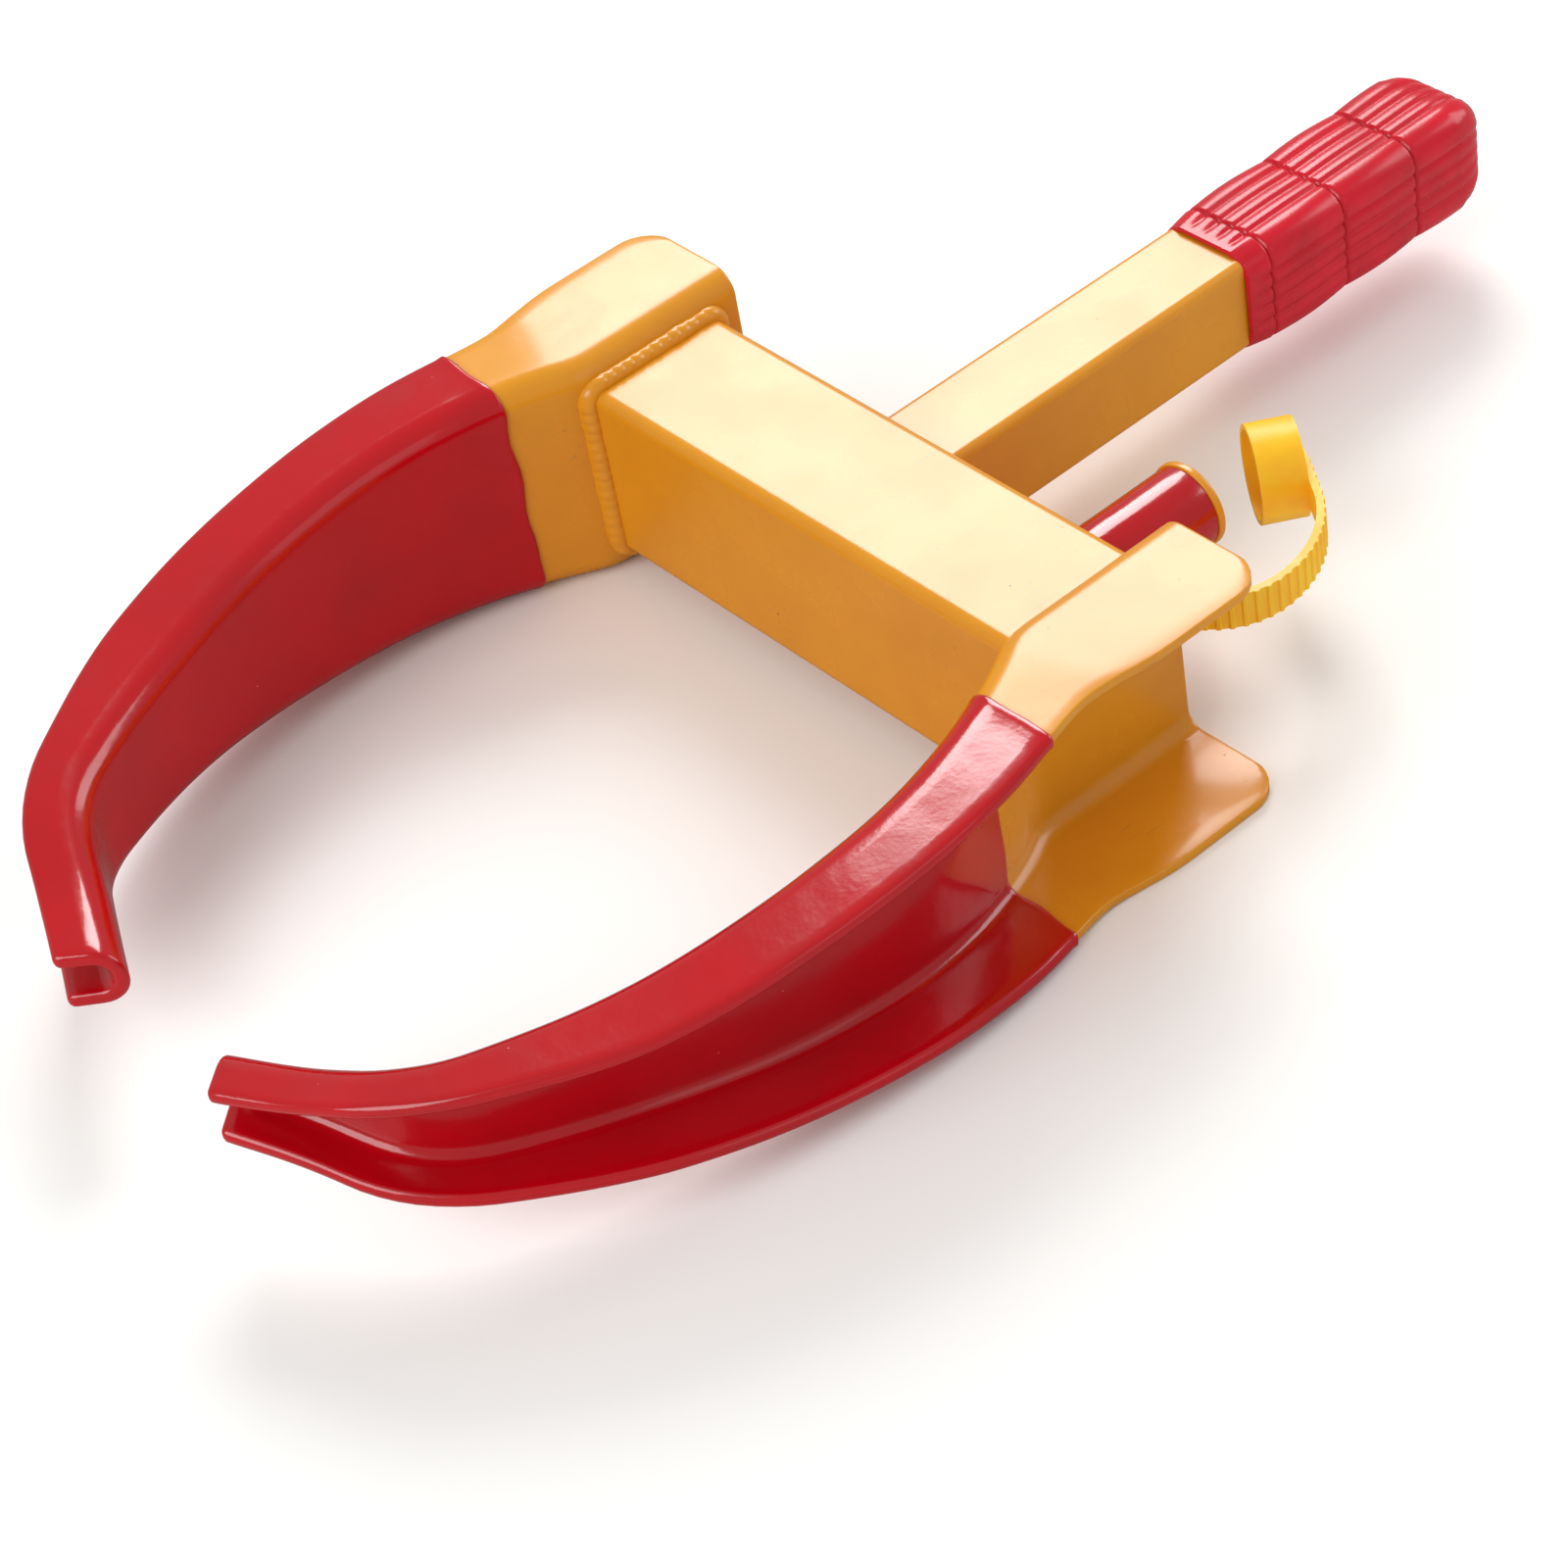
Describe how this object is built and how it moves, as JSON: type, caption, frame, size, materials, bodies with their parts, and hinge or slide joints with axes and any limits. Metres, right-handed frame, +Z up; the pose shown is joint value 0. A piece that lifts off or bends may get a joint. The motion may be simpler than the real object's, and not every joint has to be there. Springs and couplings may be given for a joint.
{
  "type": "wheel clamp",
  "caption": "Claw wheel clamp: tube with a fixed and a sliding C-channel claw, back handle with grip, push lock in a round housing and a strapped dust cap.",
  "frame": {"origin": "middle of the outer tube's front face, where the tyre tread stops", "axes": "+Y back along the handle, +X along the tube towards the moving claw, +Z up"},
  "size_m": [0.2746, 0.5226, 0.0784],
  "materials": {
    "yellow_paint": "gloss enamel",
    "red_pvc": "gloss dipped coating",
    "red_grip": "satin moulded grip",
    "bare_steel": "machined",
    "zinc_steel": "zinc plated",
    "spring_steel": "drawn wire",
    "chrome": "polished",
    "yellow_pvc": "soft moulded plastic"
  },
  "bodies": {
    "frame": {"outer_tube": "yellow_paint", "fixed_claw": "yellow_paint", "fixed_claw_coating": "red_pvc", "fixed_claw_weld": "yellow_paint", "handle_tube": "yellow_paint", "handle_weld": "yellow_paint", "handle_grip": "red_grip", "lock_housing": "bare_steel", "housing_sleeve": "red_pvc", "housing_collar": "yellow_paint", "housing_weld": "yellow_paint", "retaining_pin": "bare_steel", "bolt_ring": "bare_steel"},
    "jaw": {"slide_tube": "zinc_steel", "moving_claw": "yellow_paint", "moving_claw_coating": "red_pvc", "slide_weld": "bare_steel"},
    "lock": {"lock_body": "chrome", "face_disc": "chrome", "bolt_spring": "spring_steel"},
    "plug": {"plug": "chrome", "tumbler_pins": "bare_steel", "tumbler_springs": "spring_steel", "center_pin": "chrome", "locking_bolt": "bare_steel"},
    "cap": {"dust_cap": "yellow_pvc"}
  },
  "joints": [
    {"name": "jaw_slide", "type": "slide", "parent": "frame", "child": "jaw", "axis": [1, 0, 0], "range_m": [0, 0.1]},
    {"name": "lock_push", "type": "slide", "parent": "frame", "child": "lock", "axis": [0, -1, 0], "range_m": [0, 0.008], "stiffness_N_per_m": 600, "springref_m": -0.004, "deforming": ["bolt_spring"]},
    {"name": "plug_turn", "type": "hinge", "parent": "lock", "child": "plug", "pos_m": [0.058, 0.09, 0], "axis": [0, -1, 0], "range_deg": [0, 90]},
    {"name": "cap_swing", "type": "hinge", "parent": "frame", "child": "cap", "pos_m": [0.058, 0.0585, 0], "axis": [0, -1, 0], "continuous": true}
  ]
}
